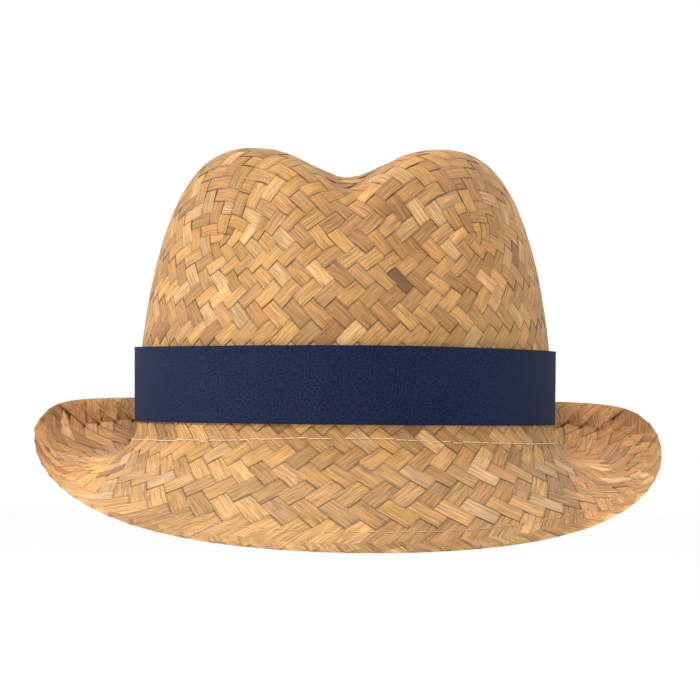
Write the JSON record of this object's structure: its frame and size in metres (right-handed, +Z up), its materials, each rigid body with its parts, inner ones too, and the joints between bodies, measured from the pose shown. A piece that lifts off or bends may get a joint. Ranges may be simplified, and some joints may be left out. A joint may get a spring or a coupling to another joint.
{
  "type": "fedora hat",
  "caption": "Woven straw fedora with a pinched, creased crown, a turned-down front brim, a sweatband and a loose ribbon loop that lifts off.",
  "frame": {"origin": "middle of the head opening, at the mean level of the line where the crown meets the brim", "axes": "+Z up through the crown, -Y the way the front of the hat faces, +Y along the head to the back, +X to the wearer's left"},
  "size_m": [0.2624, 0.2758, 0.1627],
  "materials": {
    "straw": "matte",
    "cotton_tape": "matte",
    "cream_thread": "matte",
    "navy_ribbon": "matte",
    "navy_thread": "matte",
    "white_label": "matte"
  },
  "bodies": {
    "hat": {"straw_body": "straw", "hem_needle_thread": "cream_thread", "hem_bobbin_thread": "cream_thread", "sweatband": "cotton_tape", "sweatband_needle_thread": "cream_thread", "sweatband_bobbin_thread": "cream_thread", "size_label": "white_label"},
    "band": {"hat_band": "navy_ribbon", "hat_band_seam_thread": "navy_thread"}
  },
  "joints": [
    {"name": "band_lift", "type": "slide", "parent": "hat", "child": "band", "axis": [0, 0, 1], "range_m": [0, 0.125]}
  ]
}
